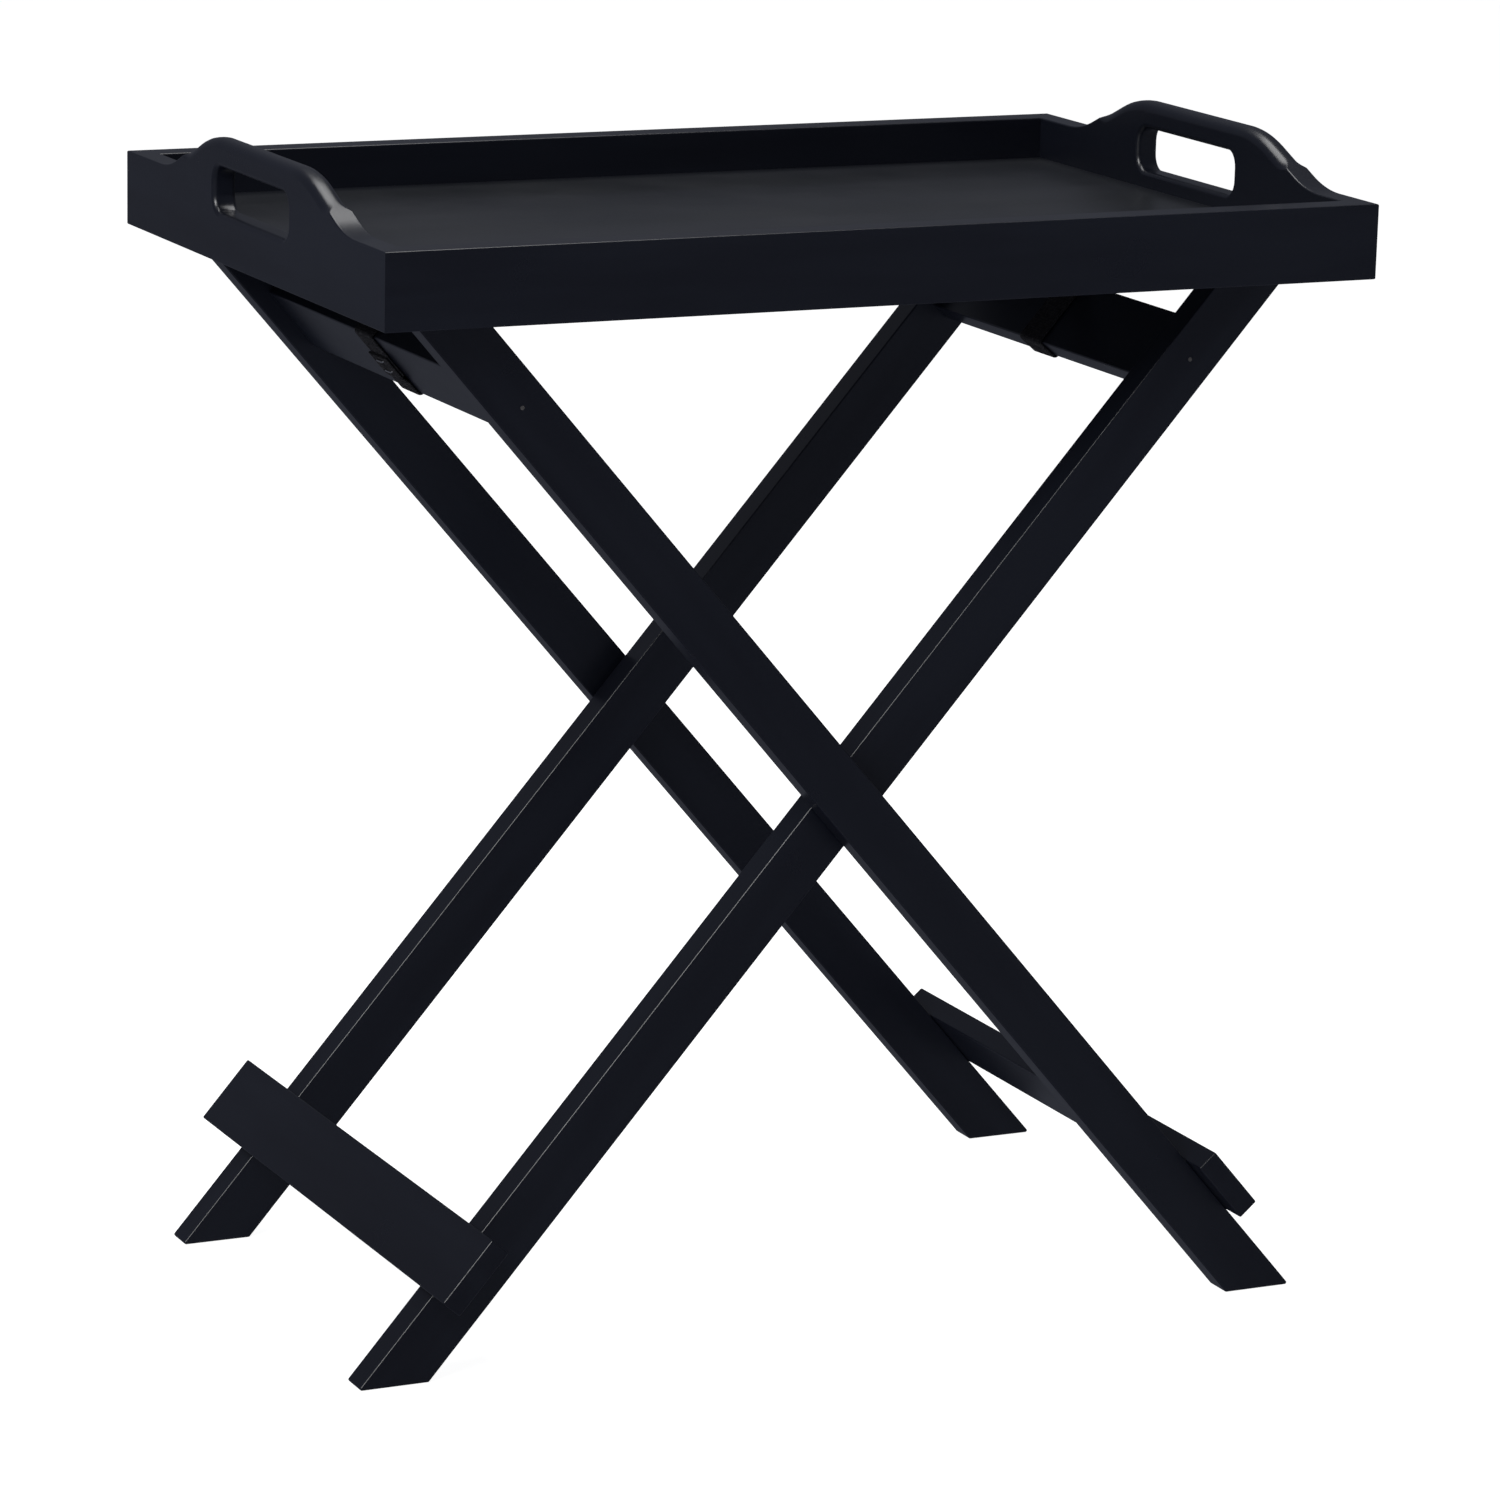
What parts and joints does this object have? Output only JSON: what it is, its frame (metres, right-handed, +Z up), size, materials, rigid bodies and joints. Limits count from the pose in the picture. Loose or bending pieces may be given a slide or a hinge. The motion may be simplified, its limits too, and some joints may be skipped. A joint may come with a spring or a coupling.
{
  "type": "folding tray table",
  "caption": "Lift-off rectangular tray with slotted raised end handles, on a crossed-leg folding stand held open by a webbing strap.",
  "frame": {"origin": "on the floor, straight below the middle of the tray and of the pivot axis", "axes": "+Z up; +X along the tray's length, from the handle over the outer frame's leg tops to the other handle; +Y from the front long rail to the back one"},
  "size_m": [0.6, 0.394, 0.669],
  "materials": {
    "painted_wood": "satin black paint on solid wood, grain faintly telegraphing through",
    "painted_panel": "satin black paint on a thin plywood panel",
    "beech": "bare turned beech dowel, hidden in the joints",
    "steel": "plain bright steel",
    "nylon": "matt black nylon",
    "webbing": "flat woven black webbing"
  },
  "bodies": {
    "outer_frame": {"outer_leg_front": "painted_wood", "outer_leg_back": "painted_wood", "outer_top_stretcher": "painted_wood", "outer_lower_stretcher": "painted_wood", "outer_top_screw_front": "steel", "outer_screw_plug_front": "painted_wood", "outer_lower_dowel_front_1": "beech", "outer_lower_dowel_front_2": "beech", "outer_top_screw_back": "steel", "outer_screw_plug_back": "painted_wood", "outer_lower_dowel_back_1": "beech", "outer_lower_dowel_back_2": "beech", "outer_strap_loop": "webbing", "outer_strap_staple_1": "steel", "outer_strap_staple_2": "steel", "pivot_pin_front": "steel", "pivot_pin_back": "steel", "pivot_washer_front": "nylon", "pivot_washer_back": "nylon", "strap_run": "webbing"},
    "inner_frame": {"inner_leg_front": "painted_wood", "inner_leg_back": "painted_wood", "inner_top_stretcher": "painted_wood", "inner_lower_stretcher": "painted_wood", "inner_top_screw_front": "steel", "inner_screw_plug_front": "painted_wood", "inner_lower_dowel_front_1": "beech", "inner_lower_dowel_front_2": "beech", "inner_top_screw_back": "steel", "inner_screw_plug_back": "painted_wood", "inner_lower_dowel_back_1": "beech", "inner_lower_dowel_back_2": "beech", "inner_strap_loop": "webbing", "inner_strap_staple_1": "steel", "inner_strap_staple_2": "steel"},
    "tray": {"tray_front_rail": "painted_wood", "tray_back_rail": "painted_wood", "tray_left_end": "painted_wood", "tray_right_end": "painted_wood", "tray_floor": "painted_panel", "tray_brad_1": "steel", "tray_brad_2": "steel", "tray_brad_3": "steel", "tray_brad_4": "steel", "tray_brad_5": "steel", "tray_brad_6": "steel", "tray_brad_7": "steel", "tray_brad_8": "steel"}
  },
  "joints": [
    {"name": "fold", "type": "hinge", "parent": "outer_frame", "child": "inner_frame", "pos_m": [0, 0, 0.3095], "axis": [0, -1, 0], "range_deg": [0, 77], "deforming": ["strap_run"]},
    {"name": "tray_lift", "type": "slide", "parent": "outer_frame", "child": "tray", "axis": [0, 0, 1], "range_m": [0, 0.54]}
  ],
  "couplings": [
    {"joint": "tray_lift", "follows": "fold", "m_per_rad": 0.4}
  ]
}
